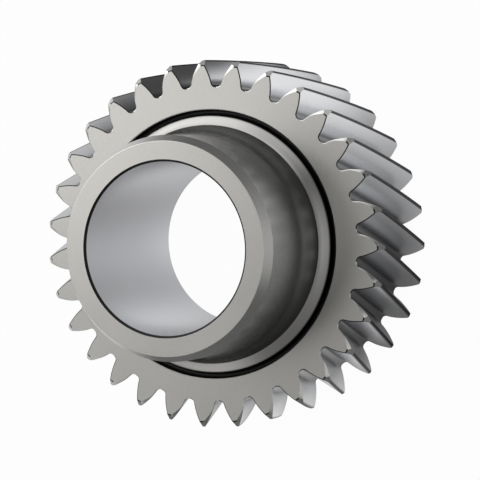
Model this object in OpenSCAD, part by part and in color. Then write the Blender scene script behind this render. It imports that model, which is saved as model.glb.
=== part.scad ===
// Helical transmission gear: a toothed crown, its web and one long hub, in a single solid.
// Millimetres. z = 0 is the crown's plain rear face, the hub rises along +Z on the bore's axis.

/* [Teeth] */
// Number of teeth
teeth = 31; // [24:1:40]
// Normal module, which sets the size of every tooth
normal_module = 3; // [2.6:0.1:3.4]
// Helix angle, right-handed
helix_angle = 17; // [8:1:24]
// Normal pressure angle
pressure_angle = 20; // [18:0.5:22]
// Tooth height above the pitch circle, in modules
addendum = 1.66; // [1.4:0.01:1.7]
// Tooth depth below the pitch circle, in modules
dedendum = 0.94; // [0.88:0.01:1.0]
// Extra half thickness of a tooth at the pitch circle, in modules
thickening = 0.1; // [0.06:0.01:0.12]
// Radius at the foot of the gaps
foot_radius = 1.3; // [0.8:0.1:1.4]
// Width of the crown
face_width = 37; // [26:0.5:46]
// Front tip bevel, measured along the radius
front_bevel = 1.7; // [0.6:0.1:2.2]
// Front tip bevel, measured along the axis
front_bevel_length = 1.6; // [0.4:0.1:2.4]
// Rear tip rounding, measured along the radius
rear_round = 1.1; // [0.5:0.1:1.6]
// Rear tip rounding, measured along the axis
rear_round_length = 2.4; // [1.2:0.1:4.0]

/* [Hub] */
// Outside diameter of the hub
hub_d = 64; // [58:0.5:66]
// Height of the hub above the toothed face
hub_height = 32; // [18:0.5:44]
// Hub end chamfer, measured along the radius
hub_chamfer = 1.65; // [0.6:0.05:2.2]
// Hub end chamfer, measured along the axis
hub_chamfer_length = 3.1; // [1.5:0.1:5.0]
// Radius of the hollow sweep at the hub's root
root_sweep = 14; // [6:0.5:20]
// How far the sweep carries the hub's root outwards
root_flare = 2.7; // [1.5:0.1:4.0]
// Width of the cone band outside the sweep
cone_width = 2.9; // [1.5:0.1:3.5]
// Height of the sweep's foot above the toothed face
cone_top = 1.75; // [1.0:0.05:2.5]
// Depth of the cone band's outer edge below the toothed face
cone_drop = 0.5; // [0.1:0.05:1.0]
// Rounding of the cone band's outer edge
cone_round = 1; // [0.4:0.1:1.2]

/* [Groove] */
// Outside diameter of the relief groove, which is the inside of the toothed face
groove_d = 78.3; // [76.5:0.1:81]
// Depth of the relief groove below the toothed face
groove_depth = 3.0; // [1.6:0.1:5.0]
// Edge break on the groove's outer rim
groove_break = 0.25; // [0.1:0.05:0.5]

/* [Bore] */
// Diameter of the bore
bore_d = 49; // [40:0.5:51]
// Chamfer at both ends of the bore
bore_chamfer = 0.65; // [0.3:0.05:1.2]

/* [Rear recess] */
// Diameter of the recess in the rear face
recess_d = 76; // [66:0.5:80]
// Depth of the recess
recess_depth = 12; // [4:0.5:18]
// Radius in the recess corner
recess_fillet = 3; // [1:0.5:4]
// Chamfer round the mouth of the recess
recess_chamfer = 1; // [0.4:0.1:2]

/* [Hidden] */
// Seats of this size are lost in the pitch of one section
small = 0.01;
// Transverse values of the helical tooth
transverse_module = normal_module / cos(helix_angle);
transverse_angle = atan(tan(pressure_angle) / cos(helix_angle));
pitch_r = transverse_module * teeth / 2;
base_r = pitch_r * cos(transverse_angle);
tip_r = pitch_r + addendum * normal_module;
foot_r = pitch_r - dedendum * normal_module;
front_tip_r = tip_r - front_bevel;
tooth_pitch = 360 / teeth;
// Twist of the teeth over the whole width, in degrees
twist = face_width * tan(helix_angle) / pitch_r * 180 / PI;
// Half the angle of a tooth where its flanks start, in degrees
base_half = 90 / teeth + involute(pitch_r) + thickening * normal_module / pitch_r * 180 / PI;
// Centre of the foot radius and the point where it meets the flank
foot_centre_r = foot_r + foot_radius;
foot_centre_half = base_half + foot_radius / base_r * 180 / PI - involute(foot_centre_r);
flank_start_r = norm([base_r, tangent_length(foot_centre_r) - foot_radius]);
// Points on one flank, on one foot arc, and slices of the straight part of the crown
flank_points = 5;
foot_points = 4;
slices = 4;
// Sections of the rear rounding, as shares of its length
rear_steps = [0, 0.3];
// Seats of the hub
hub_r = hub_d / 2;
hub_top = face_width + hub_height;
sweep_foot_r = hub_r + root_flare;
sweep_foot_z = face_width + cone_top;
sweep_top_z = sweep_foot_z + sqrt(root_sweep * root_sweep - (root_sweep - root_flare) ^ 2);
cone_foot_r = sweep_foot_r + cone_width;
cone_foot_z = face_width - cone_drop;
cone_slope = atan((cone_top + cone_drop) / cone_width);
cone_round_r = cone_foot_r - cone_round;
cone_round_z = cone_foot_z + cone_round * tan(cone_slope) - cone_round / cos(cone_slope);
groove_r = groove_d / 2;
groove_width = groove_r - cone_foot_r;
groove_floor = face_width - groove_depth;
bore_r = bore_d / 2;
recess_r = recess_d / 2;
bore_end = recess_depth;
past = 1;

function tangent_length(r) = sqrt(max(r * r - base_r * base_r, 0));

// Involute function of the pressure angle at radius r, in degrees
function involute(r) = tangent_length(r) / base_r * 180 / PI - atan2(tangent_length(r), base_r);

// Half the angle of a tooth at radius r
function flank_half(r) = base_half - involute(r);

// Radius and half angle of a point on the foot arc, from 0 at the flank to 1 at the gap's floor
function foot_point(t) =
    let (
        out = [cos(foot_centre_half), sin(foot_centre_half)],
        along = [-out[1], out[0]],
        half = flank_half(flank_start_r),
        contact = flank_start_r * [cos(half), sin(half)] - foot_centre_r * out,
        at = atan2(contact * along, -contact * out) * (1 - t),
        p = (foot_centre_r - foot_radius * cos(at)) * out + foot_radius * sin(at) * along
    )
    [norm(p), atan2(p[1], p[0])];

// One side of a tooth from its tip at radius r down to the gap's floor
function tooth_side(r) = [
    for (i = [0:flank_points - 1])
        let (at = r + (flank_start_r - r) * i / flank_points)
        [at, flank_half(at)],
    for (i = [0:foot_points - 1])
        foot_point(i / (foot_points - 1)),
    [foot_r, tooth_pitch / 2]
];

// One whole tooth, as radius and angle, ending at the middle of the next gap
function tooth(r) =
    let (
        side = tooth_side(r),
        last = len(side) - 1
    )
    [
        for (i = [last - 1:-1:0]) [side[i][0], -side[i][1]],
        for (i = [0:last]) side[i]
    ];

// Outline of the crown at height z with its teeth cut down to radius r
function section(r, z) =
    let (
        outline = tooth(r),
        turned = twist * (z - face_width) / face_width
    )
    [
        for (k = [0:teeth - 1])
            for (p = outline)
                let (a = p[1] + k * tooth_pitch + turned)
                [p[0] * cos(a), p[0] * sin(a), z]
    ];

// Heights of the sections with the tip radius at each
function section_heights() =
    let (
        first = rear_round_length,
        last = face_width - front_bevel_length
    )
    [
        for (t = rear_steps) [tip_r - rear_round * (1 - t) ^ 2, rear_round_length * t],
        for (i = [0:slices]) [tip_r, first + (last - first) * i / slices],
        [front_tip_r, face_width]
    ];

module crown() {
    heights = section_heights();
    count = len(tooth(tip_r)) * teeth;
    top = (len(heights) - 1) * count;
    points = [
        for (h = heights) each section(h[0], h[1]),
        [0, 0, 0],
        [0, 0, face_width]
    ];
    centre = len(heights) * count;
    faces = [
        for (s = [0:len(heights) - 2])
            for (i = [0:count - 1])
                let (
                    j = (i + 1) % count,
                    a = s * count + i,
                    b = s * count + j
                )
                each [[a, a + count, b], [b, a + count, b + count]],
        for (i = [0:count - 1])
            [centre, i, (i + 1) % count],
        for (i = [0:count - 1])
            [centre + 1, top + (i + 1) % count, top + i]
    ];
    polyhedron(points, faces, convexity = 12);
}

// Hub with its end chamfer, root sweep and cone band, down to the groove's floor
module hub() {
    rotate_extrude($fn = 180)
        union() {
            difference() {
                polygon([
                    [0, groove_floor - past],
                    [cone_foot_r, groove_floor - past],
                    [cone_foot_r, cone_round_z],
                    [
                        cone_round_r + cone_round * sin(cone_slope),
                        cone_round_z + cone_round * cos(cone_slope)
                    ],
                    [sweep_foot_r, sweep_foot_z],
                    [sweep_foot_r, sweep_top_z],
                    [hub_r, sweep_top_z],
                    [hub_r, hub_top - hub_chamfer_length],
                    [hub_r - hub_chamfer, hub_top],
                    [0, hub_top]
                ]);
                translate([hub_r + root_sweep, sweep_top_z])
                    circle(r = root_sweep, $fn = 240);
            }
            translate([cone_round_r, cone_round_z])
                circle(r = cone_round, $fn = 96);
        }
}

// Room between the hub's cone band and the toothed face, with a round floor
module groove() {
    rotate_extrude($fn = 180)
        union() {
            translate([cone_foot_r, groove_floor + groove_width / 2])
                square([groove_width, groove_depth + past]);
            translate([groove_r - groove_width / 2, groove_floor + groove_width / 2])
                circle(d = groove_width, $fn = 96);
            polygon([
                [groove_r - small, face_width - groove_break],
                [groove_r, face_width - groove_break],
                [groove_r + groove_break + past, face_width + past],
                [groove_r - small, face_width + past]
            ]);
        }
}

// Flat seat between the groove and the hub, cut back to the cone band
module cone_seat() {
    rotate_extrude($fn = 180)
        polygon([
            [sweep_foot_r - small, cone_foot_z],
            [cone_foot_r + small, cone_foot_z],
            [cone_foot_r + small, face_width + past],
            [sweep_foot_r - small, face_width + past]
        ]);
}

// Bore with a chamfer at each end
module bore() {
    rotate_extrude($fn = 180)
        polygon([
            [0, bore_end - past],
            [bore_r + bore_chamfer + past, bore_end - past],
            [bore_r, bore_end + bore_chamfer],
            [bore_r, hub_top - bore_chamfer],
            [bore_r + bore_chamfer + past, hub_top + past],
            [0, hub_top + past]
        ]);
}

// Turned recess in the rear face, with a rounded corner and a chamfered mouth
module recess() {
    rotate_extrude($fn = 180)
        union() {
            polygon([
                [0, -past],
                [recess_r + recess_chamfer + past, -past],
                [recess_r, recess_chamfer],
                [recess_r, recess_depth - recess_fillet],
                [recess_r - recess_fillet, recess_depth],
                [0, recess_depth]
            ]);
            translate([recess_r - recess_fillet, recess_depth - recess_fillet])
                circle(r = recess_fillet, $fn = 96);
        }
}

module helical_gear() {
    color([0.63, 0.63, 0.62])
        difference() {
            union() {
                difference() {
                    crown();
                    cone_seat();
                }
                hub();
            }
            groove();
            bore();
            recess();
        }
}

helical_gear();
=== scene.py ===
import math

import bpy
import bmesh
from mathutils import Euler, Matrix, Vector


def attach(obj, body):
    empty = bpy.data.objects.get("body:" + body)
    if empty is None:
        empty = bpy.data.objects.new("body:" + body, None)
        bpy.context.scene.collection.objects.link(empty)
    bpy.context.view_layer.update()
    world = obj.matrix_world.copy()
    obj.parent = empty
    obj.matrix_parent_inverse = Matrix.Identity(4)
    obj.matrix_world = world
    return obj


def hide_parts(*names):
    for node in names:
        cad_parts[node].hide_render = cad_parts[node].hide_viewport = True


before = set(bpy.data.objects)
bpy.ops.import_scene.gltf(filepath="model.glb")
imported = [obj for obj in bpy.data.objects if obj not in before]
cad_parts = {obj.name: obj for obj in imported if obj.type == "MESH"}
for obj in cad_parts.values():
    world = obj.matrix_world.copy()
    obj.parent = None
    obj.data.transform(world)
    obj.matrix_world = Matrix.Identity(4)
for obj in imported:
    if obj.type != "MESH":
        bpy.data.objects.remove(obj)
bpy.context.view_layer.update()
mm = 0.001
print("frame loaded")


# camera, solved from the photograph's teeth and rims
photoCamera = {
    "place": (0.01629, -0.33353, 0.78319),
    "turnDegrees": (-2.4751, 23.3695, -93.4868),
    "focalMm": 210.83,
    "sensorMm": 36.0,
    "reach": 20.0,
}


def makeCamera(spec):
    data = bpy.data.cameras.new("photoCamera")
    data.lens = spec["focalMm"]
    data.sensor_width = spec["sensorMm"]
    data.sensor_fit = "HORIZONTAL"
    data.clip_end = spec["reach"]
    camera = bpy.data.objects.new("photoCamera", data)
    camera.location = spec["place"]
    camera.rotation_euler = [math.radians(a) for a in spec["turnDegrees"]]
    bpy.context.scene.collection.objects.link(camera)
    bpy.context.scene.camera = camera


makeCamera(photoCamera)
print("camera placed")


# writing of node trees
class Wire:
    # one output of a node; sums written on it add Math nodes
    def __init__(self, nodes, socket):
        self.nodes = nodes
        self.socket = socket

    def math(self, operation, *others):
        return self.nodes.math(operation, self, *others)

    def sibling(self, name):
        # another output of the same node
        return Wire(self.nodes, self.socket.node.outputs[name])

    def __add__(self, other):
        return self.math("ADD", other)

    def __radd__(self, other):
        return self.nodes.math("ADD", other, self)

    def __sub__(self, other):
        return self.math("SUBTRACT", other)

    def __rsub__(self, other):
        return self.nodes.math("SUBTRACT", other, self)

    def __mul__(self, other):
        return self.math("MULTIPLY", other)

    def __rmul__(self, other):
        return self.nodes.math("MULTIPLY", other, self)

    def __truediv__(self, other):
        return self.math("DIVIDE", other)

    def __rtruediv__(self, other):
        return self.nodes.math("DIVIDE", other, self)

    def __gt__(self, other):
        return self.math("GREATER_THAN", other)

    def __lt__(self, other):
        return self.math("LESS_THAN", other)


class Nodes:
    # writes nodes into one tree: type, settings, then the sockets' values or links
    def __init__(self, tree):
        self.tree = tree
        tree.nodes.clear()

    def add(self, kind, settings=None, *values, out=0, **named):
        node = self.tree.nodes.new(kind)
        for key, value in (settings or {}).items():
            setattr(node, key, value)
        for place, value in enumerate(values):
            self.feed(node.inputs[place], value)
        for key, value in named.items():
            self.feed(self.pick(node.inputs, key), value)
        if not node.outputs:
            return node
        socket = self.pick(node.outputs, out) if isinstance(out, str) else node.outputs[out]
        return Wire(self, socket)

    def pick(self, sockets, key):
        words = key.replace("_", " ").lower()
        return [s for s in sockets if s.enabled and s.name.lower() == words][0]

    def feed(self, socket, value):
        if isinstance(value, Wire):
            self.tree.links.new(value.socket, socket)
        else:
            socket.default_value = value

    def math(self, operation, *values):
        return self.add("ShaderNodeMath", {"operation": operation}, *values)

    def either(self, test, yes, no):
        # yes where test is 1, no where it is 0
        return (yes - no) * test + no


# the gear's form, in millimetres
crownSizes = {
    "teeth": 31,
    "module": 3.0,
    "helixDegrees": 17.0,
    "pressureDegrees": 20.0,
    "addendum": 1.66,
    "dedendum": 0.94,
    "thickening": 0.1,
    "footRadius": 1.3,
    "width": 37.0,
    "frontBevel": 1.7,
    "frontBevelLength": 1.6,
    "rearRound": 1.1,
    "rearRoundLength": 2.4,
    "edgeBreak": 0.22,
    "edgeSlope": 0.6,
    "tipFacet": 0.85,
    "tipFacetShare": 0.6,
    "rearBreak": 0.18,
    "rearBreakLength": 0.19,
    "bevelMargin": 0.3,
    "rearShares": (0.72, 0.45, 0.22),
    "flankSteps": 7,
    "footSteps": 8,
    "slices": 8,
}
bodySizes = {
    "hubDiameter": 64.0,
    "hubHeight": 32.0,
    "hubChamfer": 1.65,
    "hubChamferLength": 3.1,
    "rootSweep": 14.0,
    "rootFlare": 2.7,
    "coneWidth": 2.9,
    "coneTop": 1.75,
    "coneDrop": 0.5,
    "coneRound": 1.0,
    "grooveDiameter": 78.3,
    "grooveDepth": 3.0,
    "grooveBreak": 0.25,
    "boreDiameter": 49.0,
    "boreChamfer": 0.65,
    "recessDiameter": 76.0,
    "recessDepth": 12.0,
    "recessFillet": 3.0,
    "recessChamfer": 1.0,
    "softEdge": 0.12,
    "fineEdge": 0.06,
    "cutShare": 0.4,
    "leastCut": 0.01,
    "faceRing": 1.2,
    "rearRing": 4.0,
    "webRing": 1.5,
    "coneRing": 0.9,
    "recessSteps": 10,
    "rootSteps": 12,
    "coneSteps": 6,
    "grooveSteps": 16,
}
meshLimits = {"weldMm": 0.004, "leastEdgeMm": 0.001, "sharpDegrees": 13.0}
finishNames = ["turned", "hub", "flank", "groove", "bore", "chamfer", "land", "bead"]
# marks of the rows where a tooth's outline is broken, and the margin for reading a mark
breakMarks = {"none": 0.0, "front": 1.0, "frontEnd": -1.0, "rear": 0.5}
markMargin = 0.2


def toothForm(s):
    # transverse values of the helical tooth, in millimetres and radians
    helix = math.radians(s["helixDegrees"])
    pressure = math.atan(math.tan(math.radians(s["pressureDegrees"])) / math.cos(helix))
    pitch = s["module"] / math.cos(helix) * s["teeth"] / 2
    base = pitch * math.cos(pressure)

    def involute(r):
        run = math.sqrt(max(r * r - base * base, 0.0))
        return run / base - math.atan2(run, base)

    foot = pitch - s["dedendum"] * s["module"]
    baseHalf = math.pi / 2 / s["teeth"] + involute(pitch) + s["thickening"] * s["module"] / pitch
    centre = foot + s["footRadius"]
    centreHalf = baseHalf + s["footRadius"] / base - involute(centre)
    start = math.hypot(base, math.sqrt(centre ** 2 - base ** 2) - s["footRadius"])
    half = baseHalf - involute(start)
    cx, cy = centre * math.cos(centreHalf), centre * math.sin(centreHalf)
    first = math.atan2(start * math.sin(half) - cy, start * math.cos(half) - cx)
    last = centreHalf + math.pi
    while last - first > math.pi:
        last -= 2 * math.pi
    return {
        "Base Radius": base * mm,
        "Tip Radius": (pitch + s["addendum"] * s["module"]) * mm,
        "Foot Radius": foot * mm,
        "Half Tooth": baseHalf,
        "Flank Start": start * mm,
        "Fillet Radius": s["footRadius"] * mm,
        "Fillet Centre": centre * mm,
        "Fillet Half": centreHalf,
        "Fillet From": first,
        "Fillet To": last,
        "Twist": math.tan(helix) / (pitch * mm),
        "Crown Width": s["width"] * mm,
        "Front Bevel": s["frontBevel"] * mm,
        "Front Bevel Length": s["frontBevelLength"] * mm,
        "Rear Round": s["rearRound"] * mm,
        "Rear Round Length": s["rearRoundLength"] * mm,
        "Edge Break": s["edgeBreak"] * mm,
        "Edge Slope": s["edgeSlope"],
        "Tip Facet": s["tipFacet"] * mm,
        "Tip Facet Share": s["tipFacetShare"],
        "Rear Break": s["rearBreak"] * mm,
    }


def arc(cx, cz, radius, start, end, steps, finish):
    # points of an arc in the gear's section, angles in degrees
    turn = [math.radians(start + (end - start) * i / steps) for i in range(steps + 1)]
    return [(cx + radius * math.cos(a), cz + radius * math.sin(a), finish, 0.0) for a in turn]


def broken(points, share, least):
    # every corner that has a soft edge becomes two points, as a fine file leaves it
    result = [points[0][:3]]
    for before, here, after in zip(points, points[1:], points[2:]):
        a, b, c = Vector(before[:2]), Vector(here[:2]), Vector(after[:2])
        cut = min(here[3], (a - b).length * share, (c - b).length * share)
        if cut < least:
            result.append(here[:3])
            continue
        first, last = b + (a - b).normalized() * cut, b + (c - b).normalized() * cut
        result += [(first.x, first.y, "chamfer"), (last.x, last.y, here[2])]
    return result + [points[-1][:3]]


def sectionRows(crown, body):
    # the whole section of the gear in rows: radius, height, toothed, edge, wind, finish
    width, top = crown["width"], crown["width"] + body["hubHeight"]
    hub, bore = body["hubDiameter"] / 2, body["boreDiameter"] / 2
    recess, groove = body["recessDiameter"] / 2, body["grooveDiameter"] / 2
    sweep, flare, roundR = body["rootSweep"], body["rootFlare"], body["coneRound"]
    sweepAngle = math.degrees(math.acos(1 - flare / sweep))
    coneTop, ring = width + body["coneTop"], body["coneRing"]
    sweepTop = coneTop + math.sqrt(sweep ** 2 - (sweep - flare) ** 2)
    coneFoot = hub + flare + body["coneWidth"]
    slope = math.atan2(body["coneTop"] + body["coneDrop"], body["coneWidth"])
    roundFrom = 90 - math.degrees(slope)
    roundZ = width - body["coneDrop"] + roundR * math.tan(slope) - roundR / math.cos(slope)
    grooveHalf = (groove - coneFoot) / 2
    floorZ = width - body["grooveDepth"] + grooveHalf
    corner = body["recessFillet"]
    depth = body["recessDepth"]
    soft, fine = body["softEdge"], body["fineEdge"]
    rows = []

    def toothed(z, edge, finish):
        rows.append((0.0, z, 1.0, breakMarks[edge], 0.0, finish))

    # the toothed face and the teeth, from the front to the rear
    rows.append((groove + body["grooveBreak"], width, 0.0, 0.0, 0.0, "turned"))
    rows.append((groove + body["faceRing"], width, 0.0, 0.0, 0.0, "turned"))
    toothed(width, "front", "chamfer")
    toothed(width, "frontEnd", "flank")
    first, last = crown["rearRoundLength"], width - crown["frontBevelLength"] - crown["bevelMargin"]
    for i in range(crown["slices"] + 1):
        toothed(last + (first - last) * i / crown["slices"], "none", "flank")
    for share in crown["rearShares"]:
        toothed(first * share, "none", "flank")
    toothed(crown["rearBreakLength"], "none", "chamfer")
    toothed(0.0, "rear", "turned")
    # all that is turned, from the rear face through the bore to the groove, one tooth further round
    mouth = recess + body["recessChamfer"]
    turned = [
        (mouth + body["rearRing"], 0.0, "turned", 0.0),
        (mouth, 0.0, "chamfer", soft),
        (recess, body["recessChamfer"], "groove", soft),
        *arc(recess - corner, depth - corner, corner, 0, 90, body["recessSteps"], "groove"),
        (bore + body["boreChamfer"] + body["webRing"], depth, "turned", 0.0),
        (bore + body["boreChamfer"], depth, "chamfer", soft),
        (bore, depth + body["boreChamfer"], "bore", soft),
        (bore, top - body["boreChamfer"], "groove", fine),
        (bore + body["boreChamfer"], top, "turned", 0.0),
        (hub - body["hubChamfer"], top, "chamfer", fine),
        (hub, top - body["hubChamferLength"], "hub", 0.0),
        *arc(hub + sweep, sweepTop, sweep, 180, 180 + sweepAngle, body["rootSteps"], "hub")[:-1],
        (hub + flare, coneTop, "bead", fine),
        (hub + flare + ring, coneTop - ring * math.tan(slope), "bead", 0.0),
        *arc(coneFoot - roundR, roundZ, roundR, roundFrom, 0, body["coneSteps"], "bead"),
        *arc(groove - grooveHalf, floorZ, grooveHalf, 180, 360, body["grooveSteps"], "groove"),
        (groove, width - body["grooveBreak"], "chamfer", fine),
        (groove + body["grooveBreak"], width, "turned", 0.0),
    ]
    for r, z, finish in broken(turned, body["cutShare"], body["leastCut"])[:-1]:
        rows.append((r, z, 0.0, 0.0, -1.0, finish))
    return rows


def sectionMesh(rows):
    # one point per row, with what the nodes need kept as attributes
    mesh = bpy.data.meshes.new("gearSection")
    edges = [(i, i + 1) for i in range(len(rows) - 1)]
    mesh.from_pydata([(row[0] * mm, 0.0, row[1] * mm) for row in rows], edges, [])
    columns = {"rowRadius": 0, "rowHeight": 1, "toothed": 2, "edge": 3, "wind": 4, "finish": 5}
    for name, column in columns.items():
        layer = mesh.attributes.new(name, "FLOAT", "POINT")
        for point, row in zip(layer.data, rows):
            if name == "finish":
                point.value = finishNames.index(row[column])
            else:
                point.value = row[column] * (mm if name in ("rowRadius", "rowHeight") else 1)
    return mesh


def gearTree(sizes, counts, materials):
    tree = bpy.data.node_groups.new("helicalGearForm", "GeometryNodeTree")
    tree.is_modifier = True
    tree.interface.new_socket("Geometry", in_out="INPUT", socket_type="NodeSocketGeometry")
    for name in sizes:
        tree.interface.new_socket(name, in_out="INPUT", socket_type="NodeSocketFloat")
    for name in counts:
        tree.interface.new_socket(name, in_out="INPUT", socket_type="NodeSocketInt")
    tree.interface.new_socket("Geometry", in_out="OUTPUT", socket_type="NodeSocketGeometry")
    g = Nodes(tree)
    section = g.add("NodeGroupInput")
    size = section.sibling

    flankSteps, footSteps = size("Flank Steps"), size("Foot Steps")
    halfSteps = flankSteps + footSteps + 2.0
    rowCount = g.add(
        "GeometryNodeAttributeDomainSize", {"component": "MESH"}, section, out="Point Count",
    )
    grid = g.add(
        "GeometryNodeMeshGrid", None, Size_X=1.0, Size_Y=1.0,
        Vertices_X=halfSteps * 2.0 + 1.0, Vertices_Y=rowCount + 1.0,
    )
    place = g.add("ShaderNodeSeparateXYZ", None, g.add("GeometryNodeInputPosition"))
    across = place + 0.5
    along = (place.sibling("Y") + 0.5) * rowCount

    def named(name):
        kind = {"data_type": "FLOAT"}
        return g.add("GeometryNodeInputNamedAttribute", kind, Name=name, out="Attribute")

    def rowValue(name, row):
        return g.add(
            "GeometryNodeSampleIndex", {"data_type": "FLOAT", "domain": "POINT"},
            Geometry=section, Value=named(name), Index=row, out="Value",
        )

    def marked(edge, name):
        return edge.math("COMPARE", breakMarks[name], markMargin)

    # each face keeps the finish of its row; a tooth's top land and front bevel have their own
    faceRow = along.math("FLOOR")
    rowFinish = rowValue("finish", faceRow)
    flankKind, landKind, chamferKind = [finishNames.index(n) for n in ("flank", "land", "chamfer")]
    onTop = (across * 2.0 - 1.0).math("ABSOLUTE") * halfSteps < 1.0
    onTop = onTop * rowFinish.math("COMPARE", flankKind, markMargin)
    rowEdge = rowValue("edge", faceRow)
    topFinish = g.either(marked(rowEdge, "frontEnd"), chamferKind, landKind)
    # painted shade: the trailing flank's front break is left black, in the near-black land finish
    paintedShadeBreak = marked(rowEdge, "front") * (across < 0.5)
    rowFinish = g.either(paintedShadeBreak, landKind, rowFinish)
    finished = g.add(
        "GeometryNodeStoreNamedAttribute", {"data_type": "FLOAT", "domain": "FACE"},
        Geometry=grid, Name="finish", Value=g.either(onTop, topFinish, rowFinish),
    )
    # the row that this point belongs to, and where it stands across the tooth
    row = along.math("ROUND")
    closing = row > rowCount - 0.5
    row = row.math("FLOORED_MODULO", rowCount)
    toothed, edge = rowValue("toothed", row), rowValue("edge", row)
    height, radius = rowValue("rowHeight", row), rowValue("rowRadius", row)
    wind = rowValue("wind", row) - closing
    step = ((across * 2.0 - 1.0).math("ABSOLUTE") * halfSteps).math("ROUND")
    side = (across * 2.0 - 1.0).math("SIGN")
    # chamfer along the tooth's outline, wider at the tip on the leading flank
    down = ((step - 1.0) / flankSteps).math("MAXIMUM", 0.0)
    facet = (1.0 - down / size("Tip Facet Share")).math("MAXIMUM", 0.0)
    facet = facet * (side > 0.5) * (step > 0.5)
    chamfer = size("Edge Break") + size("Tip Facet") * facet
    inset = g.either(marked(edge, "front"), chamfer, size("Rear Break") * marked(edge, "rear"))
    slope = g.either(side > 0.5, size("Edge Slope"), 1.0)
    height = height - chamfer * slope * marked(edge, "frontEnd")
    # tip radius at this height: front bevel and rounded rear corner
    fromFront = size("Crown Width") - height
    bevel = (1.0 - fromFront / size("Front Bevel Length")).math("MAXIMUM", 0.0)
    rear = (1.0 - height / size("Rear Round Length")).math("MAXIMUM", 0.0)
    tip = size("Tip Radius") - size("Front Bevel") * bevel - size("Rear Round") * rear * rear
    # involute flank
    base = size("Base Radius")
    flank = tip + (size("Flank Start") - tip) * down
    run = (flank * flank - base * base).math("MAXIMUM", 0.0).math("SQRT")
    half = size("Half Tooth") - run / base + (run / base).math("ARCTANGENT")
    flankRadius = flank - inset * run / flank
    flankAngle = half - inset * base / (flank * flank)
    # foot fillet
    turn = ((step - 1.0 - flankSteps) / footSteps).math("MAXIMUM", 0.0).math("MINIMUM", 1.0)
    turn = size("Fillet From") + (size("Fillet To") - size("Fillet From")) * turn
    reach = size("Fillet Radius") + inset
    footX = size("Fillet Centre") * size("Fillet Half").math("COSINE") + reach * turn.math("COSINE")
    footY = size("Fillet Centre") * size("Fillet Half").math("SINE") + reach * turn.math("SINE")
    footRadius = (footX * footX + footY * footY).math("SQRT")
    footAngle = footY.math("ARCTAN2", footX)
    # choose between land, flank, fillet and the gap's floor
    pitch = math.tau / size("Teeth")
    onFoot = step > flankSteps + 1.5
    onFloor = step > halfSteps - 0.5
    onLand = step < 0.5
    outRadius = g.either(onFoot, footRadius, flankRadius)
    outAngle = g.either(onFoot, footAngle, flankAngle)
    outRadius = g.either(onFloor, size("Foot Radius") - inset, outRadius)
    outAngle = g.either(onFloor, pitch * 0.5, outAngle)
    outRadius = g.either(onLand, tip - inset, outRadius)
    outAngle = outAngle * side * (1.0 - onLand) - size("Twist") * fromFront
    # turned rows are plain circles
    radius = g.either(toothed > 0.5, outRadius, radius)
    angle = g.either(toothed > 0.5, outAngle, (across - 0.5 + wind) * pitch)
    shaped = g.add(
        "GeometryNodeSetPosition", None, Geometry=finished,
        Position=g.add(
            "ShaderNodeCombineXYZ", None,
            radius * angle.math("COSINE"), radius * angle.math("SINE"), height,
        ),
    )
    # one sector per tooth
    stations = g.add("GeometryNodePoints", None, Count=size("Teeth"))
    index = g.add("GeometryNodeInputIndex")
    around = g.add(
        "GeometryNodeInstanceOnPoints", None, Points=stations, Instance=shaped,
        Rotation=g.add("ShaderNodeCombineXYZ", None, 0.0, 0.0, index * pitch),
    )
    whole = g.add("GeometryNodeRealizeInstances", None, around)
    weld = meshLimits["weldMm"] * mm
    whole = g.add("GeometryNodeMergeByDistance", None, Geometry=whole, Distance=weld)
    for kind, material in enumerate(materials):
        whole = g.add(
            "GeometryNodeSetMaterial", None, Geometry=whole,
            Selection=named("finish").math("COMPARE", kind, markMargin), Material=material,
        )
    g.add("NodeGroupOutput", None, whole)
    return tree


def makeGear(materials):
    sizes = toothForm(crownSizes)
    counts = {
        "Teeth": crownSizes["teeth"],
        "Flank Steps": crownSizes["flankSteps"],
        "Foot Steps": crownSizes["footSteps"],
    }
    source = bpy.data.objects.new("gearSection", sectionMesh(sectionRows(crownSizes, bodySizes)))
    bpy.context.scene.collection.objects.link(source)
    tree = gearTree(sizes, counts, materials)
    modifier = source.modifiers.new("helicalGearForm", "NODES")
    modifier.node_group = tree
    sockets = {s.name: s.identifier for s in tree.interface.items_tree if s.in_out == "INPUT"}
    for name, value in {**sizes, **counts}.items():
        modifier[sockets[name]] = value
    evaluated = source.evaluated_get(bpy.context.evaluated_depsgraph_get())
    mesh = bpy.data.meshes.new_from_object(evaluated)
    mesh.name = "helicalGear"
    bpy.data.objects.remove(source)
    edit = bmesh.new()
    edit.from_mesh(mesh)
    bmesh.ops.dissolve_degenerate(edit, dist=meshLimits["leastEdgeMm"] * mm, edges=edit.edges)
    bmesh.ops.recalc_face_normals(edit, faces=edit.faces)
    if edit.calc_volume(signed=True) < 0:
        bmesh.ops.reverse_faces(edit, faces=edit.faces)
    edit.to_mesh(mesh)
    edit.free()
    mesh.shade_smooth()
    mesh.set_sharp_from_angle(angle=math.radians(meshLimits["sharpDegrees"]))
    gear = bpy.data.objects.new("helicalGearSteel", mesh)
    bpy.context.scene.collection.objects.link(gear)
    return gear
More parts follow.
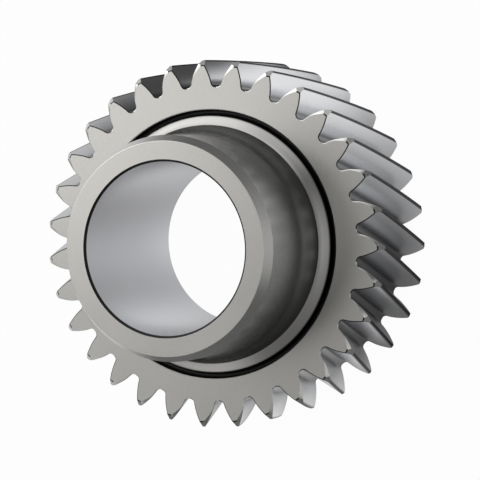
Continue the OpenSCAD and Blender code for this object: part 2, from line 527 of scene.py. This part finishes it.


# bare steel, in one finish for each way that it was cut; the groove and land tints are painted
# shade, the hub, flank and bead finishes carry painted shade, and the bore carries painted
# reflections
steelLook = {
    "turned": {"tint": (0.60, 0.59, 0.56), "roughness": 0.30, "rings": 0.35, "ringPitchMm": 0.16},
    "hub": {
        "tint": (0.53, 0.535, 0.535), "roughness": 0.28, "rings": 0.5, "ringPitchMm": 0.10,
        # painted shade: the hub fades to shade towards its root beside the toothed face
        "paintedShade": [{"along": "height", "from": 37.5, "to": 48.0, "level": 0.14}],
    },
    "flank": {
        "tint": (0.64, 0.645, 0.66), "roughness": 0.25, "rings": 0.3, "ringPitchMm": 0.2,
        # painted shade: the flanks fade to shade at the tooth roots and along the tooth tips
        "paintedShade": [
            {"along": "radius", "from": 45.8, "to": 48.2, "level": 0.25},
            {"along": "radius", "from": 53.35, "to": 53.10, "level": 0.08},
        ],
    },
    # painted shade: near-black tint for the groove, the rear recess and the bore's chamfer at the
    # hub end, where shade falls
    "groove": {"tint": (0.05, 0.05, 0.05), "roughness": 0.55, "rings": 1.0, "ringPitchMm": 0.2},
    "bore": {
        "tint": (0.56, 0.565, 0.59), "roughness": 0.24, "rings": 0.5, "ringPitchMm": 0.1,
        # painted reflections: stripes of light and shade around the bore
        "paintedReflections": [
            {"count": 6, "turnDegrees": 30.0, "level": 0.14},
            {"count": 1, "turnDegrees": 150.0, "level": 0.20},
        ],
    },
    "chamfer": {"tint": (0.74, 0.735, 0.72), "roughness": 0.26, "rings": 0.2, "ringPitchMm": 0.12},
    # painted shade: near-black tint for the top lands and the trailing flanks' front breaks
    "land": {"tint": (0.04, 0.04, 0.04), "roughness": 0.55, "rings": 0.6, "ringPitchMm": 0.2},
    "bead": {
        "tint": (0.68, 0.67, 0.65), "roughness": 0.30, "rings": 0.6, "ringPitchMm": 0.12,
        # painted shade: the bead's outer round fades to near-black beside the groove
        "paintedShade": [{"along": "radius", "from": 37.6, "to": 36.9, "level": 0.10}],
    },
}


steelGrain = {
    "cloudScale": 45.0,
    "cloudDetail": 4.0,
    "fineScale": 900.0,
    "fineDetail": 3.0,
    "ringDetail": 2.0,
    "plainLevel": 0.98,
    "cloudLevel": 0.16,
    "ringLevel": 0.12,
    "fineLevel": 0.06,
    "cloudRoughness": 0.12,
    "ringRoughness": 0.10,
    "bumpStrength": 0.12,
    "bumpMm": 0.1,
    "fineBump": 0.4,
}


def steelMaterial(name, look, grain):
    material = bpy.data.materials.new(name + "Steel")
    material.use_nodes = True
    n = Nodes(material.node_tree)
    place = n.add("ShaderNodeTexCoord", None, out="Object")
    x = n.add("ShaderNodeSeparateXYZ", None, place)
    y, z = x.sibling("Y"), x.sibling("Z")
    radius = (x * x + y * y).math("SQRT")
    ring = n.add("ShaderNodeCombineXYZ", None, radius, z, 0.0)
    turning = n.add(
        "ShaderNodeTexNoise", {"noise_dimensions": "2D"},
        Vector=ring, Scale=1.0 / (look["ringPitchMm"] * mm), Detail=grain["ringDetail"],
    )
    cloud, fine = [
        n.add(
            "ShaderNodeTexNoise", None,
            Vector=place, Scale=grain[kind + "Scale"], Detail=grain[kind + "Detail"],
        )
        for kind in ("cloud", "fine")
    ]
    swing = turning - 0.5
    patch = cloud - 0.5
    level = grain["plainLevel"] + patch * grain["cloudLevel"] + (fine - 0.5) * grain["fineLevel"]
    level = level + swing * (grain["ringLevel"] * look["rings"])
    # painted reflections: soft stripes of light and shade along the axis, one side lighter than the
    # other
    for paintedReflections in look.get("paintedReflections", []):
        turn = (y.math("ARCTAN2", x) - math.radians(paintedReflections["turnDegrees"])) * paintedReflections["count"]
        level = level * (1.0 + turn.math("COSINE") * paintedReflections["level"])
    # painted shade: the tone fades towards near-black at the hub's root, at the tooth roots, along
    # the tooth tips and at the bead's outer edge beside the groove
    for paintedShade in look.get("paintedShade", []):
        level = level * n.add(
            "ShaderNodeMapRange", {"interpolation_type": "SMOOTHSTEP"},
            radius if paintedShade["along"] == "radius" else z,
            paintedShade["from"] * mm, paintedShade["to"] * mm, paintedShade["level"], 1.0,
        )
    colour = n.add("ShaderNodeVectorMath", {"operation": "SCALE"}, (*look["tint"],), Scale=level)
    rough = look["roughness"] + patch * grain["cloudRoughness"]
    rough = rough + swing * (grain["ringRoughness"] * look["rings"])
    shader = n.add(
        "ShaderNodeBsdfPrincipled", None, Base_Color=colour, Metallic=1.0, Roughness=rough,
    )
    bump = n.add(
        "ShaderNodeBump", None, Strength=grain["bumpStrength"], Distance=grain["bumpMm"] * mm,
        Height=turning * look["rings"] + fine * grain["fineBump"],
    )
    n.feed(n.pick(shader.socket.node.inputs, "Normal"), bump)
    n.add("ShaderNodeOutputMaterial", None, shader)
    return material


materials = [steelMaterial(name, steelLook[name], steelGrain) for name in finishNames]
print("steel finishes made")

gear = makeGear(materials)
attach(gear, "root")
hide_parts("helical_gear")
print("gear made:", len(gear.data.vertices), "points,", len(gear.data.polygons), "faces")


# floor, light and background
stageLook = {
    "floorSize": 6.0,
    "floorTint": (0.80, 0.80, 0.80),
    "floorMirrored": 0.13,
    "floorGlow": 0.97,
    "pools": {
        "behindBore": {"at": (0.0, 0.0), "full": 0.020, "edge": 0.030, "level": 0.42},
        "right": {"at": (0.045, -0.10), "full": 0.030, "edge": 0.085, "level": 0.92},
        "upRight": {"at": (0.06, -0.08), "full": 0.015, "edge": 0.05, "level": 0.20},
        "besideTeeth": {"at": (0.056, -0.036), "full": 0.010, "edge": 0.026, "level": 0.55},
        "farRight": {"at": (0.05, -0.50), "full": 0.10, "edge": 0.40, "level": 0.3},
        "outRight": {"at": (-0.02, -0.20), "full": 0.05, "edge": 0.12, "level": 0.55},
        "lowRight": {"at": (-0.06, -0.09), "full": 0.02, "edge": 0.07, "level": 0.25},
        "below": {"at": (-0.070, -0.028), "full": 0.015, "edge": 0.040, "level": 0.70},
        "belowLeft": {"at": (-0.075, 0.015), "full": 0.020, "edge": 0.045, "level": 0.40},
        "left": {"at": (0.02, 0.15), "full": 0.095, "edge": 0.155, "level": 0.56},
        "farLeft": {"at": (0.25, 0.30), "full": 0.15, "edge": 0.30, "level": 0.5},
        "shadeAbove": {"at": (0.080, 0.0), "full": 0.012, "edge": 0.045, "level": -0.05},
    },
    "skyLevel": 0.07,
    "panels": {
        "left": {"toward": (-0.96, 0.19, 0.23), "level": 1.05, "edge": 0.70, "full": 0.97},
        "topLeft": {"toward": (-0.74, 0.66, 0.15), "level": 1.2, "edge": 0.70, "full": 0.97},
        "topRight": {"toward": (0.18, 0.93, 0.25), "level": 0.6, "edge": 0.80, "full": 0.98},
        "low": {"toward": (-0.65, -0.74, -0.15), "level": 0.5, "edge": 0.70, "full": 0.95},
        "front": {"toward": (0.08, -0.05, 1.0), "level": 0.54, "edge": 0.82, "full": 0.97},
        "right": {"toward": (0.92, -0.10, 0.40), "level": 0.08, "edge": 0.45, "full": 0.95},
        "lowRight": {"toward": (0.35, -0.90, 0.15), "level": 0.08, "edge": 0.50, "full": 0.95},
    },
    "lampTarget": (0.0, 0.0, 0.04),
    "lamps": {
        "keyLamp": {"from": (-0.78, 0.32, 0.54), "distance": 0.16, "size": 0.12, "watts": 0.0155},
    },
}


def photoTurn():
    # from the camera's axes to the scene's
    return Euler([math.radians(a) for a in photoCamera["turnDegrees"]]).to_matrix()


def makeFloor(look):
    half = look["floorSize"] / 2
    corners = [(-half, -half, 0), (half, -half, 0), (half, half, 0), (-half, half, 0)]
    mesh = bpy.data.meshes.new("paleFloor")
    mesh.from_pydata(corners, [], [(0, 1, 2, 3)])
    floor = bpy.data.objects.new("paleFloor", mesh)
    bpy.context.scene.collection.objects.link(floor)
    material = bpy.data.materials.new("paleFloor")
    material.use_nodes = True
    n = Nodes(material.node_tree)
    seen = n.add("ShaderNodeLightPath", None, out="Is Camera Ray")
    mirrored = seen.sibling("Is Glossy Ray") + seen.sibling("Is Transmission Ray")
    matt = n.add("ShaderNodeBsdfDiffuse", None, Color=(*look["floorTint"], 1.0))
    # what metal sees of the floor: pools of soft light behind the bore and beside the gear
    place = n.add("ShaderNodeTexCoord", None, out="Object")
    level = look["floorMirrored"]
    for pool in look["pools"].values():
        away = n.add(
            "ShaderNodeVectorMath", {"operation": "DISTANCE"},
            place, (*pool["at"], 0.0), out="Value",
        )
        level = level + n.add(
            "ShaderNodeMapRange", {"interpolation_type": "SMOOTHSTEP"},
            away, pool["full"], pool["edge"], pool["level"], 0.0,
        )
    strength = n.either(seen, 1.0, level)
    glow = n.add("ShaderNodeEmission", None, Color=(1.0, 1.0, 1.0, 1.0), Strength=strength)
    share = seen * look["floorGlow"] + mirrored
    n.add("ShaderNodeOutputMaterial", None, n.add("ShaderNodeMixShader", None, share, matt, glow))
    mesh.materials.append(material)


def makeWorld(look):
    world = bpy.data.worlds.new("paleRoom")
    bpy.context.scene.world = world
    world.use_nodes = True
    n = Nodes(world.node_tree)
    toward = n.add("ShaderNodeTexCoord", None, out="Generated")
    level = look["skyLevel"]
    for panel in look["panels"].values():
        axis = photoTurn() @ Vector(panel["toward"]).normalized()
        near = n.add(
            "ShaderNodeVectorMath", {"operation": "DOT_PRODUCT"}, toward, (*axis,), out="Value",
        )
        level = level + n.add(
            "ShaderNodeMapRange", {"interpolation_type": "SMOOTHSTEP"},
            near, panel["edge"], panel["full"], 0.0, panel["level"],
        )
    seen = n.add("ShaderNodeLightPath", None, out="Is Camera Ray")
    strength = n.either(seen, 1.0, level)
    room = n.add("ShaderNodeBackground", None, Color=(1.0, 1.0, 1.0, 1.0), Strength=strength)
    n.add("ShaderNodeOutputWorld", None, room)


def makeLamps(look):
    target = Vector(look["lampTarget"])
    for name, lamp in look["lamps"].items():
        data = bpy.data.lights.new(name, "AREA")
        data.size = lamp["size"]
        data.energy = lamp["watts"]
        away = (photoTurn() @ Vector(lamp["from"])).normalized()
        item = bpy.data.objects.new(name, data)
        item.location = target + away * lamp["distance"]
        item.rotation_euler = away.to_track_quat("Z", "Y").to_euler()
        bpy.context.scene.collection.objects.link(item)


makeFloor(stageLook)
makeWorld(stageLook)
makeLamps(stageLook)
bpy.context.scene.view_settings.view_transform = "Standard"
print("stage set")
